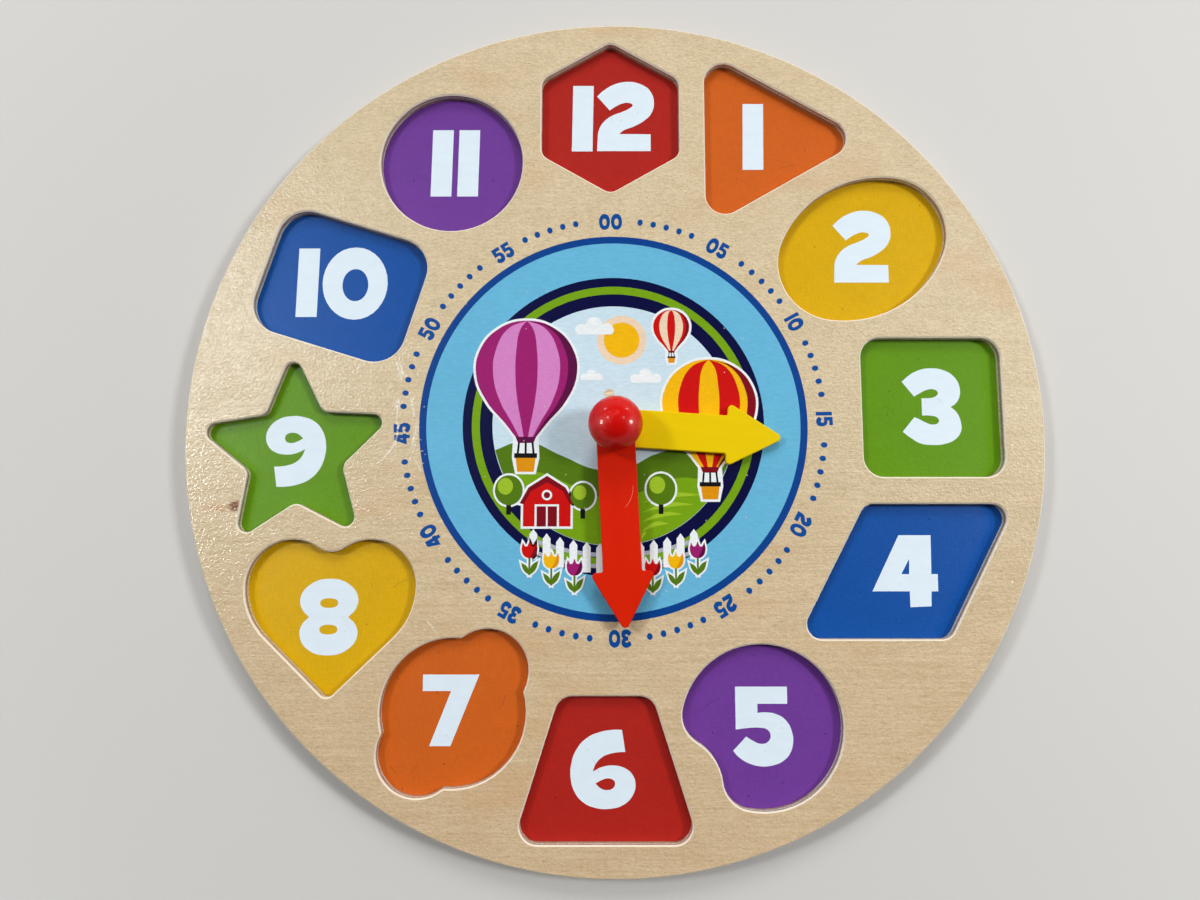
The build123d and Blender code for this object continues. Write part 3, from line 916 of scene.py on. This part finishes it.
def tulip(picture, name, foot, size, petals, dark, layer):
    """A tulip with a white edge, on a stem with two leaves."""
    def at(shapes):
        return [placed(outlines, move=foot, scale=(size, size)) for outlines in shapes]

    head = [[(-0.62, 3.0, corner), (-0.32, 2.62), (0.0, 3.1, corner), (0.32, 2.62),
             (0.62, 3.0, corner), (0.72, 2.3), (0.46, 1.72), (0.0, 1.55), (-0.46, 1.72),
             (-0.72, 2.3)]]
    fold = [[(0.62, 3.0, corner), (0.72, 2.3), (0.46, 1.72), (0.0, 1.55, corner), (0.3, 2.1)]]
    stem = [band((-0.09, 0.09), 1.6, (-0.09, 0.09), 0.0)]
    leaves = [[[(0.0, 0.0, corner), (0.55, 0.45), (0.85, 1.35, corner), (0.2, 0.85)]],
              [[(0.0, 0.0, corner), (-0.5, 0.4), (-0.78, 1.15, corner), (-0.2, 0.75)]]]
    picture.add(f"{name}_edge", at([head, stem, *leaves]), "white", layer, grow=0.6)
    picture.add(f"{name}_leaves", at([stem, *leaves]), "dark_green", layer + 1)
    picture.add(f"{name}_head", at([head]), petals, layer + 2)
    picture.add(f"{name}_fold", at([fold]), dark, layer + 3)


def land(picture):
    """The ground of the picture: its border, the sky with a sun and clouds, two hills and a field."""
    picture.add("picture_border", [[disc(border_radius), hole()]], "navy", 3, steps=40)
    picture.add("picture_line", [[disc(line_outer), disc(line_inner)]], "green", 4, steps=40)
    picture.add("picture_sky", [[disc(sky_radius), hole()]], "sky", 4, steps=40)

    sun = (3.0, 30.0)
    picture.add("sun_glow", [[disc(8.8, sun)]], "cream", 5)
    picture.add("sun", [[disc(6.3, sun)]], "yellow", 6)
    clouds = [((-6.5, 34.2), 6.2), ((11.5, 16.5), 5.0), ((-7.6, 17.0), 3.6), ((38.0, 18.6), 4.0)]
    picture.add("clouds", [cloud(middle, size) for middle, size in clouds], "white", 7)

    far_hills = [(-41.1, -9.0, corner), (-31.0, -6.0), (-18.0, -11.0), (-6.0, -15.8), (4.0, -15.6),
                 (15.0, -10.4), (26.0, -8.6), (34.0, -12.0), (39.6, -14.2, corner),
                 *arc(far_hill_radius, 113.0, 255.0, 13)]
    picture.add("far_hills", [[far_hills]], "dark_green", 8, steps=12)
    near_hills = [(-38.2, -17.5, corner), (-27.0, -16.6), (-14.0, -21.4), (-2.0, -25.8),
                  (10.0, -23.4), (22.0, -18.8), (32.0, -19.4), (37.2, -19.6, corner),
                  *arc(near_hill_radius, 120.0, 243.5, 12)]
    picture.add("near_hills", [[near_hills]], "green", 9, steps=12)

    # The rows of the field run from its left end to a circle about the dial's middle.
    left, depth, pitch, reach_squared = 9.5, 24.6, 3.3, 1560.0
    rows = []
    for row in range(5):
        drop = row * pitch
        right = (reach_squared - (depth + drop) ** 2) ** 0.5
        middle = (left + right) * 0.5
        rows.append([[(left, -27.4 - drop, corner), (middle, -24.0 - drop),
                      (right, -depth - drop, corner), (middle, -25.6 - drop)]])
    picture.add("field_rows", rows, "lime", 10)


def trees(picture):
    """Three round trees with white edges, from the middle and the half width of each crown."""
    crowns = [((-36.2, -23.0), 4.8), ((-10.6, -25.0), 4.2), ((16.4, -22.6), 5.0)]
    half, drop = 0.8, 3.6
    trunks = [[box_outline(x - half, y - size - drop, x + half, y)] for (x, y), size in crowns]
    rounds = [[ellipse(middle, (size, size * 1.08))] for middle, size in crowns]
    lights = [[ellipse((x - size * 0.25, y + size * 0.28), (size * 0.55, size * 0.6))]
              for (x, y), size in crowns]
    picture.add("tree_edges", rounds, "white", 11, grow=0.7)
    picture.add("tree_trunks", trunks, "black", 12)
    picture.add("tree_crowns", rounds, "dark_green", 13)
    picture.add("tree_lights", lights, "lime", 14)


def barn(picture, foot):
    """A barn with a broken roof, a round window and two doors, on the middle of its foot."""
    def at(*outlines):
        return [placed([outline], foot) for outline in outlines]

    half, eaves, shoulder, ridge = 8.2, 8.6, 12.6, 15.8
    walls = sharp((-half, 0.0), (half, 0.0), (half, eaves), (half * 0.72, shoulder), (0.0, ridge),
                  (-half * 0.72, shoulder), (-half, eaves))
    over, thick = 1.2, 1.7
    roof = sharp((-half - over, eaves - 0.6), (-half * 0.78, shoulder + thick * 0.5),
                 (0.0, ridge + thick), (half * 0.78, shoulder + thick * 0.5),
                 (half + over, eaves - 0.6), (half - 0.2, eaves - 1.0),
                 (half * 0.68, shoulder - 0.5), (0.0, ridge - 0.6),
                 (-half * 0.68, shoulder - 0.5), (-half + 0.2, eaves - 1.0))
    window = (0.0, 10.8)
    door_frame = box_outline(-4.2, 0.0, 4.2, 7.6)
    doors = [box_outline(-3.5, 0.0, -0.3, 6.9), box_outline(0.3, 0.0, 3.5, 6.9)]
    picture.add("barn_edge", at(walls, roof), "white", 11, grow=0.8)
    picture.add("barn_walls", at(walls), "red", 12)
    picture.add("barn_roof", at(roof), "dark_red", 13)
    picture.add("barn_frames", at(door_frame, disc(1.8, window)), "white", 13)
    picture.add("barn_doors", at(*doors, disc(1.1, window)), "dark_red", 14)


def fence(picture):
    """A picket fence on two rails, bent up at its ends to follow the picture's edge."""
    pitch, half, tip, bend = 4.6, 1.35, 1.8, 0.0065
    pickets = []
    for number in range(-6, 7):
        x = number * pitch
        rise = bend * x * x
        foot, top = rise - 51.7, rise - 43.1
        pickets.append([sharp((x - half, foot), (x + half, foot), (x + half, top), (x, top + tip),
                              (x - half, top))])
    rails = [[[(-29.5, low + 5.6, corner), (-15.0, low + 1.4), (0.0, low), (15.0, low + 1.4),
               (29.5, low + 5.6, corner), (29.5, low + 7.0, corner), (15.0, low + 2.8),
               (0.0, low + 1.4), (-15.0, low + 2.8), (-29.5, low + 7.0, corner)]]
             for low in (-49.9, -46.0)]
    picture.add("fence_rails", rails, "grey", 15)
    picture.add("fence_pickets", pickets, "white", 16)


def dial_picture(inks):
    """A round landscape in a navy border: balloons over hills, a barn, trees, a fence and tulips."""
    picture = Picture(inks)
    land(picture)
    trees(picture)
    barn(picture, (-23.0, -35.5))
    balloon(picture, "left_balloon", (-30.5, 19.0), 18.0, "magenta", "pink", "plum", 12)
    balloon(picture, "right_balloon", (33.5, 6.5), 16.5, "yellow", "red", "dark_red", 12)
    balloon(picture, "small_balloon", (20.5, 34.5), 6.4, "red", "cream", "dark_red", 10)
    fence(picture)
    petals = [("red", "dark_red"), ("yellow", "orange"), ("magenta", "plum")]
    reach, size = 59.5, 3.7
    clock_angles = [209, 201, 193, 167, 159, 151]
    for number, clock_angle in enumerate(clock_angles):
        foot = polar((0, 0), clock_angle, reach)
        tulip(picture, f"tulip_{number + 1}", foot, size, *petals[number % len(petals)], 16)


ink_colours = {
    "ring_blue": srgb(0, 64, 142),
    "light_blue": srgb(104, 184, 220),
    "mark_blue": srgb(0, 74, 152),
    "navy": srgb(0, 2, 62),
    "sky": srgb(204, 228, 240),
    "white": srgb(238, 244, 248),
    "green": srgb(118, 164, 8),
    "dark_green": srgb(84, 122, 8),
    "lime": srgb(158, 194, 40),
    "magenta": srgb(158, 24, 110),
    "pink": srgb(214, 132, 198),
    "plum": srgb(92, 4, 66),
    "yellow": srgb(246, 186, 0),
    "cream": srgb(240, 214, 184),
    "orange": srgb(226, 148, 0),
    "red": srgb(206, 6, 2),
    "dark_red": srgb(128, 0, 22),
    "black": srgb(16, 14, 18),
    "grey": srgb(176, 180, 190),
}
wear = {"sky": {"chipped": True}, "mark_blue": {"rubbed": True}, "ring_blue": {"nicks": ring_nicks}}
inks = {name: ink(f"{name}_ink", colour, **wear.get(name, {})) for name, colour in ink_colours.items()}
paints = {name: pocket_paint(f"{name}_floor_paint", colour) for name, colour in colours.items()}

pocket_floors()
numerals(numeral_ink("numeral_white_ink", numeral_white))
ring = placed([disc(ring_outer), disc(ring_inner - ring_overlap)], move=dial_middle)
slab("dial_ring", [ring], inks["ring_blue"], face_height, ink_layer, steps=48)
ground = placed([disc(ring_inner), hole()], move=dial_middle)
slab("dial_ground", [ground], inks["light_blue"], face_height, 2 * ink_layer, steps=48)
minute_dots(inks["mark_blue"])
minute_labels(inks["mark_blue"])
dial_picture(inks)


# ---------------------------------------------------------------- floor, light and camera

backdrop_colour = (0.74, 0.74, 0.73, 1.0)
ceiling_colour = (0.05, 0.05, 0.05, 1.0)
lamp_white = (1.0, 1.0, 1.0)
window_blue = (0.78, 0.92, 1.0)
# The room's plain light, and how much it gains beyond the top of the clock.
room_level = 0.08
far_level = 0.43
# The table turns into the backdrop between these distances from the middle of the clock, in metres.
table_fade = (0.18, 0.45)


def table_top():
    """A plain pale table under the clock; far off it is as pale as the room behind it."""
    bpy.ops.object.select_all(action="DESELECT")
    bpy.ops.mesh.primitive_plane_add(size=30.0, location=(0.0, 0.0, 0.0))
    top = bpy.context.active_object
    top.name = "table_top"
    pale = Finish("pale_table", {"Base Color": srgb(214, 212, 208), "Roughness": 0.9})
    distance = pale.reach(pale.place(), (0.0, 0.0), (1 / MM, 1 / MM))
    far = pale.node("ShaderNodeEmission", {}, {"Color": backdrop_colour})
    near = Value(pale, pale.shader.outputs[0])
    share = pale.step(distance, *table_fade) * pale.seen()
    both = pale.node("ShaderNodeMixShader", {}, {0: share, 1: near, 2: far})
    pale.tree.links.new(both.socket, pale.tree.nodes["Material Output"].inputs["Surface"])
    top.data.materials.append(pale.material)


def room():
    """A pale room, lit most from beyond the top of the clock: backdrop, reflections and plain light."""
    world = bpy.data.worlds.new("pale_room")
    bpy.context.scene.world = world
    world.use_nodes = True
    graph = Graph(world.node_tree)
    way = graph.node("ShaderNodeTexCoord", {}, {}, "Generated")
    overhead = graph.step(graph.along(way, "Z"), 0.12, 0.5)
    wall = graph.mix(overhead, backdrop_colour, ceiling_colour)
    level = room_level + graph.step(graph.along(way, "Y"), -0.3, 0.7) * far_level
    light = graph.node("ShaderNodeBackground", {}, {"Color": (*lamp_white, 1.0), "Strength": level})
    backdrop = graph.node("ShaderNodeBackground", {}, {"Color": wall, "Strength": 1.0})
    both = graph.node("ShaderNodeMixShader", {}, {0: graph.seen(), 1: light, 2: backdrop})
    graph.node("ShaderNodeOutputWorld", {}, {"Surface": both})


def softbox(name, place, width, power, lights, colour=lamp_white):
    """A square soft lamp that faces the clock: it lights it, or only shows shining in its gloss."""
    data = bpy.data.lights.new(name, "AREA")
    data.size = width
    data.energy = power
    data.color = colour
    lamp = bpy.data.objects.new(name, data)
    lamp.visible_camera = False
    lamp.visible_diffuse = lights
    lamp.visible_glossy = not lights
    lamp.location = place
    lamp.rotation_euler = (-Vector(place)).to_track_quat("-Z", "Y").to_euler()
    bpy.context.scene.collection.objects.link(lamp)


def camera():
    """The camera, nearly straight above the dial."""
    data = bpy.data.cameras.new("camera")
    data.lens = 24.0
    data.sensor_width = 36.0
    data.clip_start = 0.01
    seat = bpy.data.objects.new("camera", data)
    seat.location = (-0.00478, -0.03747, 0.28570)
    seat.rotation_euler = (radians(6.154), radians(0.08), 0.0)
    bpy.context.scene.collection.objects.link(seat)
    bpy.context.scene.camera = seat


table_top()
room()
softbox("top_lamp", (0.0, 2.7, 2.25), 1.1, 38.0, lights=True)
softbox("left_lamp", (-0.9, 0.38, 1.1), 0.2, 6.0, lights=True)
softbox("right_lamp", (0.85, 0.18, 0.9), 0.22, 6.8, lights=True)
softbox("left_window", (-0.62, 0.3, 0.95), 0.19, 2.7, lights=False, colour=window_blue)
softbox("right_window", (0.62, 0.3, 0.95), 0.19, 0.7, lights=False, colour=window_blue)
softbox("left_glint", (-0.432, 0.0, 0.261), 0.1, 1.6, lights=False)
softbox("right_glint", (0.45, 0.004, 0.21), 0.1, 1.6, lights=False)
softbox("upper_left_glint", (-0.282, 0.368, 0.19), 0.05, 0.2, lights=False)
softbox("upper_right_glint", (0.313, 0.36, 0.144), 0.05, 0.2, lights=False)
camera()
bpy.context.scene.view_settings.view_transform = "Standard"
